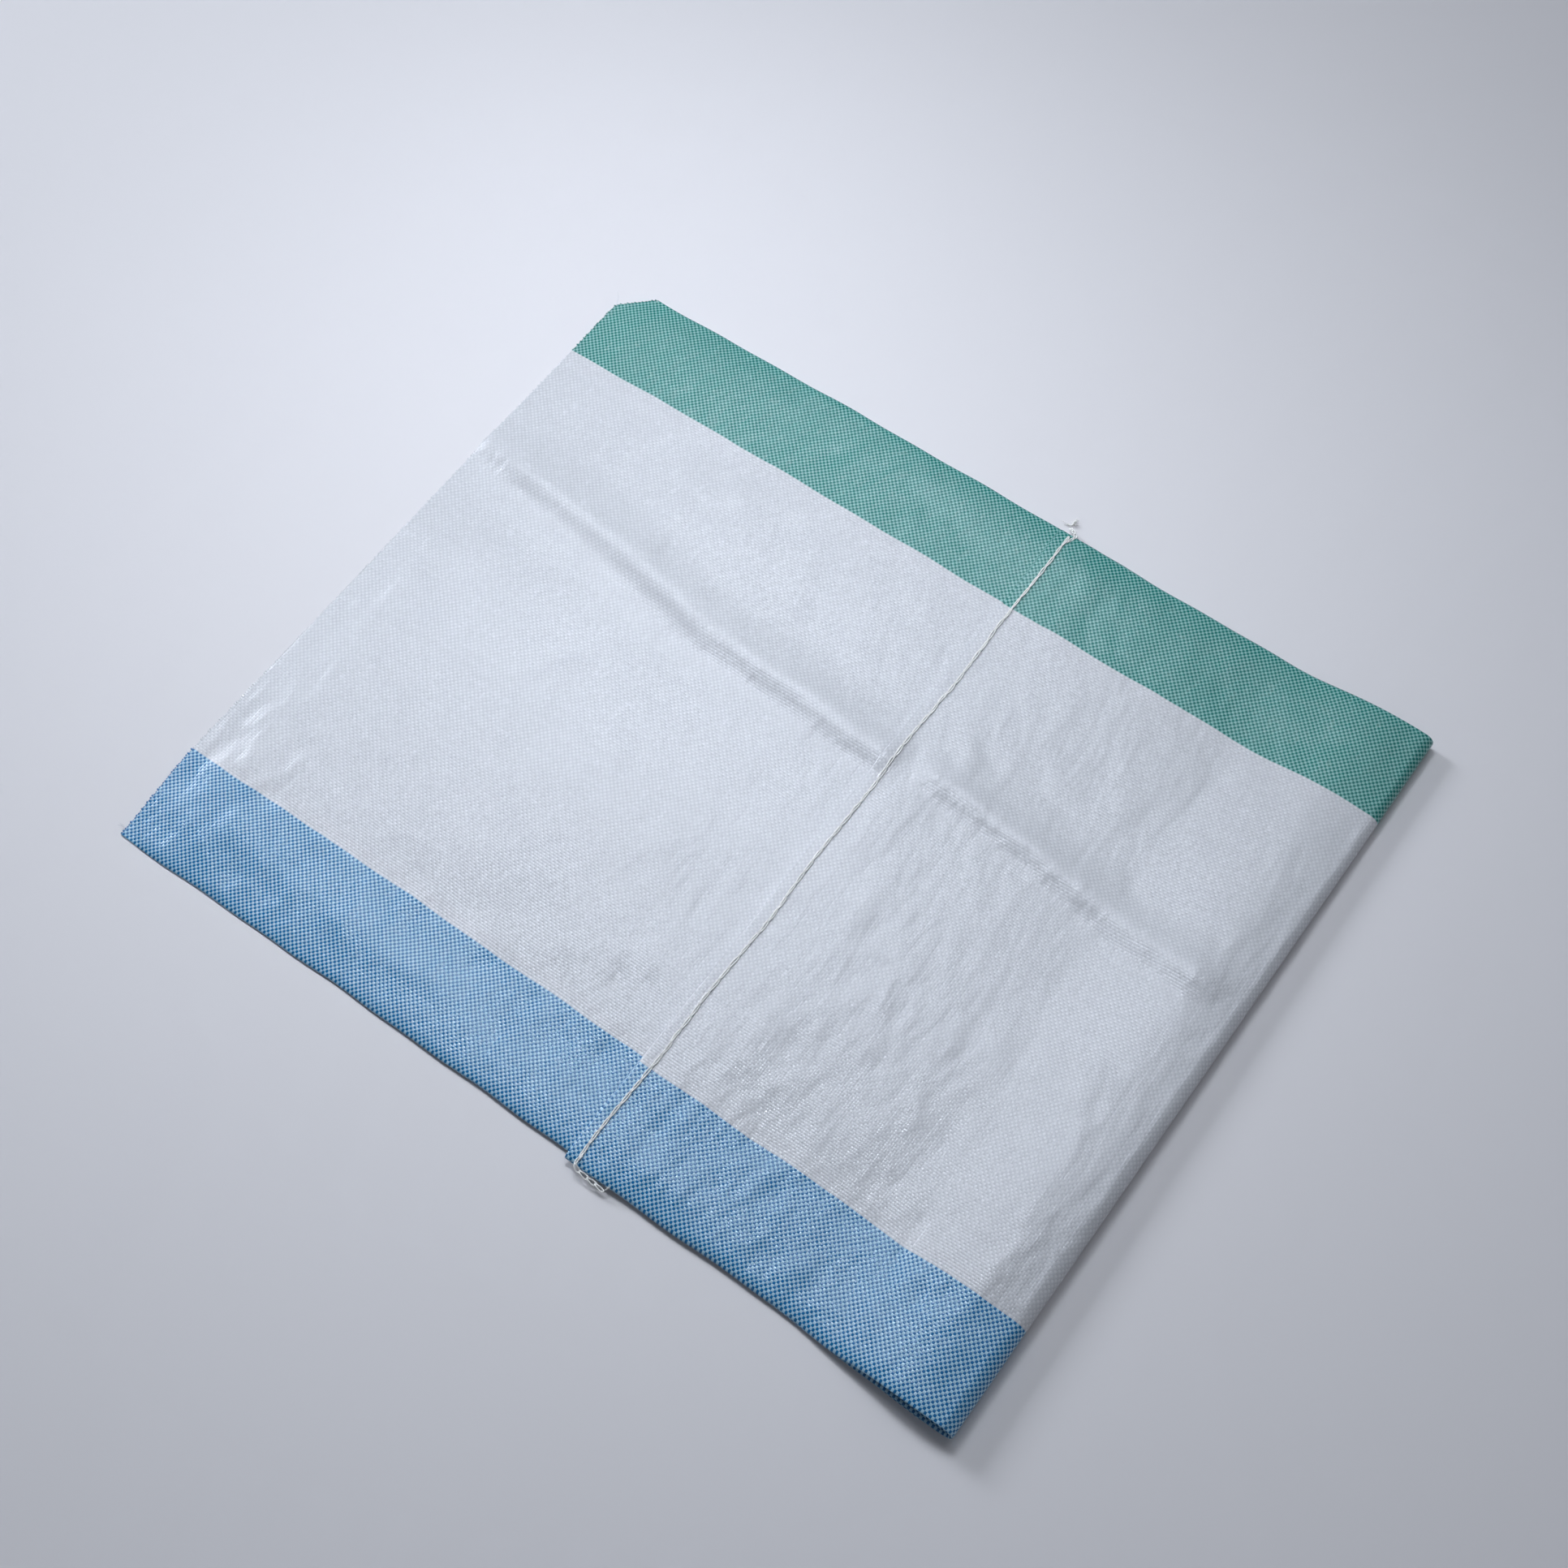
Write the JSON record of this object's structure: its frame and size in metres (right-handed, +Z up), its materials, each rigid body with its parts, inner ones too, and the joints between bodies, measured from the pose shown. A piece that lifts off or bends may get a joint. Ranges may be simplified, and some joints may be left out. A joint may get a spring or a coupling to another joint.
{
  "type": "woven polypropylene bag",
  "caption": "Flat woven polypropylene bag with coloured side bands, its bottom hemmed and chain stitched, lying folded with the bottom laid back over the mouth half.",
  "frame": {"origin": "on the surface that the bag lies on, under the middle of the folded bag", "axes": "+X from the mouth to the fold, +Y from the blue side edge to the green one, +Z up"},
  "size_m": [0.6588, 0.57, 0.0194],
  "materials": {
    "woven_cloth": "semi-gloss woven plastic tape, pale with a blue band on one side and a green one on the other",
    "thread": "matt off-white cotton thread"
  },
  "bodies": {
    "root": {"bag_cloth": "woven_cloth", "closing_thread": "thread"}
  },
  "joints": []
}
